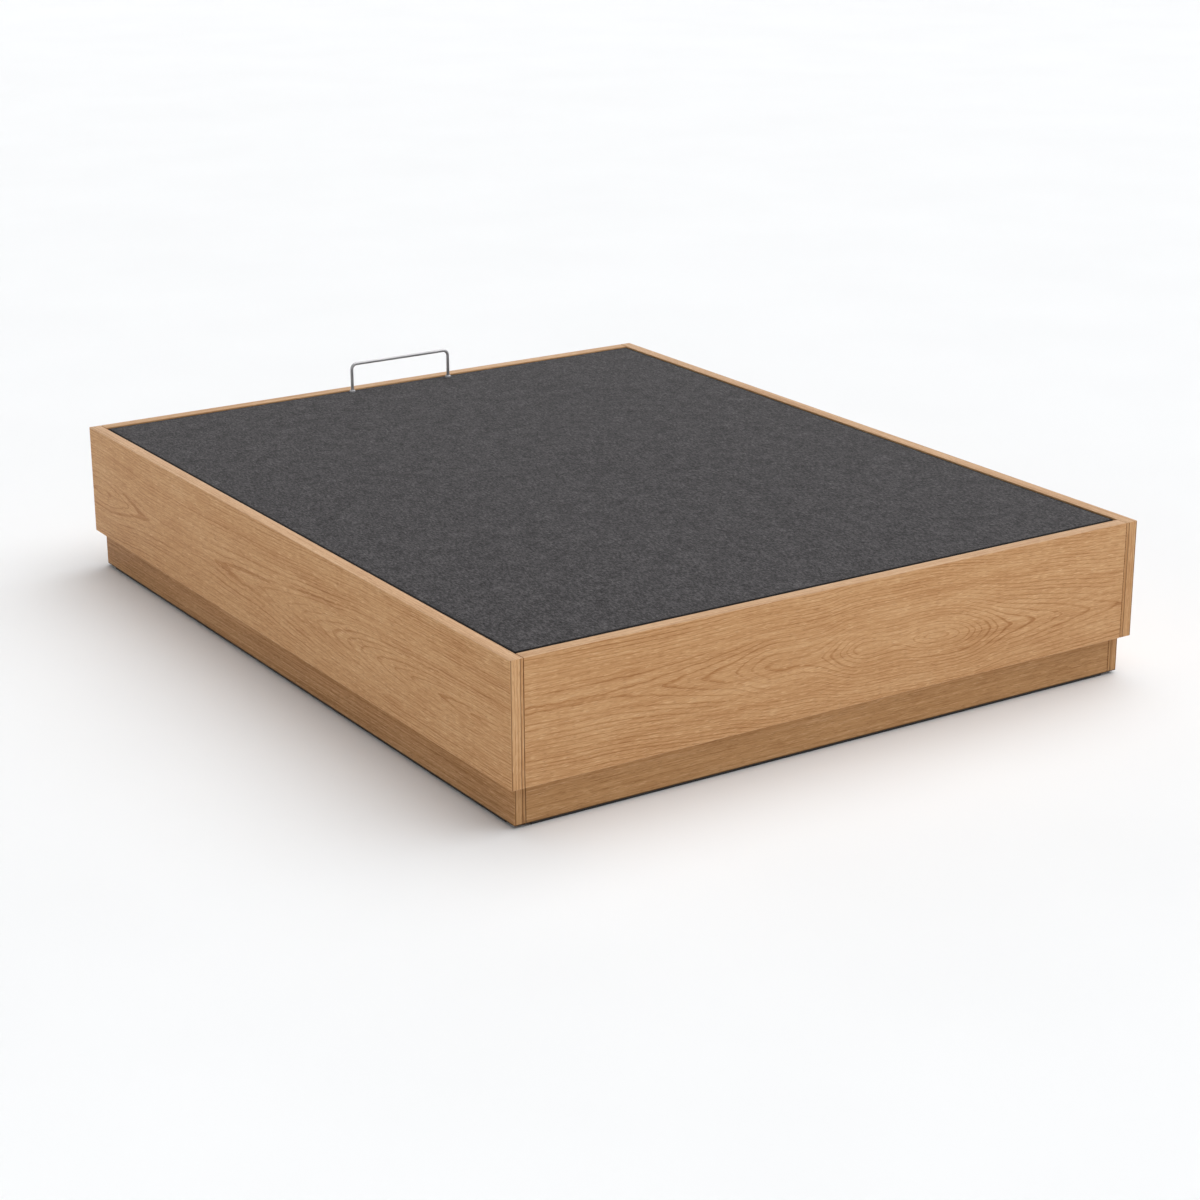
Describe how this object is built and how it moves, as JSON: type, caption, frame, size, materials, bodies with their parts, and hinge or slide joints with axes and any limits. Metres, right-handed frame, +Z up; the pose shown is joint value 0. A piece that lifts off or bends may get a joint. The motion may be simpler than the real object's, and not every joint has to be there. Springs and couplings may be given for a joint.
{
  "type": "tatami platform bed",
  "caption": "Low platform bed with four veneered panels on a set-back plinth, a fabric-covered lift-up deck over a storage well and a bent retainer bar.",
  "frame": {"origin": "floor level, centre of the footprint", "axes": "+X to the right seen from the head end, +Y from the head end to the foot end, +Z up"},
  "size_m": [1.6, 2, 0.431],
  "materials": {
    "oak_veneer": "satin lacquer",
    "pine": "planed",
    "inner_board": "melamine faced",
    "deck_fibreboard": "raw fibreboard",
    "white_plastic": "matte",
    "black_plastic": "matte",
    "felt": "felt",
    "zinc_steel": "zinc plated",
    "grey_paint": "powder coat",
    "black_paint": "satin",
    "polished_rod": "ground",
    "deck_fabric": "mottled charcoal weave",
    "chromed_bar": "polished"
  },
  "bodies": {
    "root": {"side_panel_left": "oak_veneer", "side_panel_right": "oak_veneer", "head_panel": "oak_veneer", "foot_panel": "oak_veneer", "plinth_left": "oak_veneer", "plinth_right": "oak_veneer", "plinth_head": "oak_veneer", "plinth_foot": "oak_veneer", "plinth_corner_blocks": "pine", "cross_bearer_head": "inner_board", "cross_bearer_foot": "inner_board", "floor_glides": "black_plastic", "floor_board_left": "inner_board", "floor_board_right": "inner_board", "floor_joint_strip": "white_plastic", "side_ledge_left": "pine", "side_ledge_right": "pine", "head_ledge": "pine", "foot_ledge": "pine", "ledge_pads": "felt", "corner_angles": "zinc_steel", "corner_screws": "zinc_steel", "base_plate_left": "grey_paint", "base_plate_right": "grey_paint", "plate_screws": "zinc_steel", "rear_link_pins": "zinc_steel", "main_arm_pins": "zinc_steel", "gas_base_studs": "zinc_steel"},
    "deck": {"deck_bracket_left": "grey_paint", "deck_bracket_right": "grey_paint", "bracket_bolts": "zinc_steel", "deck_link_pins": "zinc_steel", "deck_arm_pins": "zinc_steel", "deck_side_tube_left": "grey_paint", "deck_side_tube_right": "grey_paint", "deck_head_tube": "grey_paint", "deck_foot_tube": "grey_paint", "deck_cross_tube_head": "grey_paint", "deck_cross_tube_middle": "grey_paint", "deck_cross_tube_foot": "grey_paint", "tube_caps": "black_plastic", "deck_screws": "zinc_steel", "deck_board_left": "deck_fibreboard", "deck_board_right": "deck_fibreboard", "deck_cover": "deck_fabric", "retainer_bar": "chromed_bar", "retainer_collars": "chromed_bar", "retainer_t_nuts": "zinc_steel"},
    "rear_link_left": {"rear_link_left": "grey_paint"},
    "main_arm_left": {"main_arm_left": "grey_paint", "gas_arm_stud_left": "zinc_steel"},
    "gas_cylinder_left": {"gas_cylinder_left": "black_paint"},
    "gas_rod_left": {"gas_rod_left": "polished_rod"},
    "rear_link_right": {"rear_link_right": "grey_paint"},
    "main_arm_right": {"main_arm_right": "grey_paint", "gas_arm_stud_right": "zinc_steel"},
    "gas_cylinder_right": {"gas_cylinder_right": "black_paint"},
    "gas_rod_right": {"gas_rod_right": "polished_rod"}
  },
  "joints": [
    {"name": "deck_lift", "type": "hinge", "parent": "rear_link_left", "child": "deck", "pos_m": [-0.7636, -0.794, 0.296], "axis": [1, 0, 0], "range_deg": [0, 80]},
    {"name": "rear_link_swing_left", "type": "hinge", "parent": "root", "child": "rear_link_left", "pos_m": [-0.7636, -0.644, 0.292], "axis": [-1, 0, 0], "range_deg": [0, 43.53]},
    {"name": "main_arm_swing_left", "type": "hinge", "parent": "root", "child": "main_arm_left", "pos_m": [-0.7515, -0.302, 0.223], "axis": [-1, 0, 0], "range_deg": [0, 21.95]},
    {"name": "gas_cylinder_tilt_left", "type": "hinge", "parent": "root", "child": "gas_cylinder_left", "pos_m": [-0.733, -0.704, 0.128], "axis": [1, 0, 0], "range_deg": [0, 5.08]},
    {"name": "gas_rod_slide_left", "type": "slide", "parent": "gas_cylinder_left", "child": "gas_rod_left", "axis": [0, 0.8779, 0.4789], "range_m": [0, 0.04796]},
    {"name": "rear_link_swing_right", "type": "hinge", "parent": "root", "child": "rear_link_right", "pos_m": [0.7636, -0.644, 0.292], "axis": [-1, 0, 0], "range_deg": [0, 43.53]},
    {"name": "main_arm_swing_right", "type": "hinge", "parent": "root", "child": "main_arm_right", "pos_m": [0.7515, -0.302, 0.223], "axis": [-1, 0, 0], "range_deg": [0, 21.95]},
    {"name": "gas_cylinder_tilt_right", "type": "hinge", "parent": "root", "child": "gas_cylinder_right", "pos_m": [0.733, -0.704, 0.128], "axis": [1, 0, 0], "range_deg": [0, 5.08]},
    {"name": "gas_rod_slide_right", "type": "slide", "parent": "gas_cylinder_right", "child": "gas_rod_right", "axis": [0, 0.8779, 0.4789], "range_m": [0, 0.04796]}
  ],
  "couplings": [
    {"joint": "rear_link_swing_left", "follows": "deck_lift", "ratio": 0.544},
    {"joint": "main_arm_swing_left", "follows": "deck_lift", "ratio": 0.27424},
    {"joint": "gas_cylinder_tilt_left", "follows": "deck_lift", "ratio": 0.06336},
    {"joint": "gas_rod_slide_left", "follows": "deck_lift", "m_per_rad": 0.034277},
    {"joint": "rear_link_swing_right", "follows": "deck_lift", "ratio": 0.544},
    {"joint": "main_arm_swing_right", "follows": "deck_lift", "ratio": 0.27424},
    {"joint": "gas_cylinder_tilt_right", "follows": "deck_lift", "ratio": 0.06336},
    {"joint": "gas_rod_slide_right", "follows": "deck_lift", "m_per_rad": 0.034277}
  ]
}
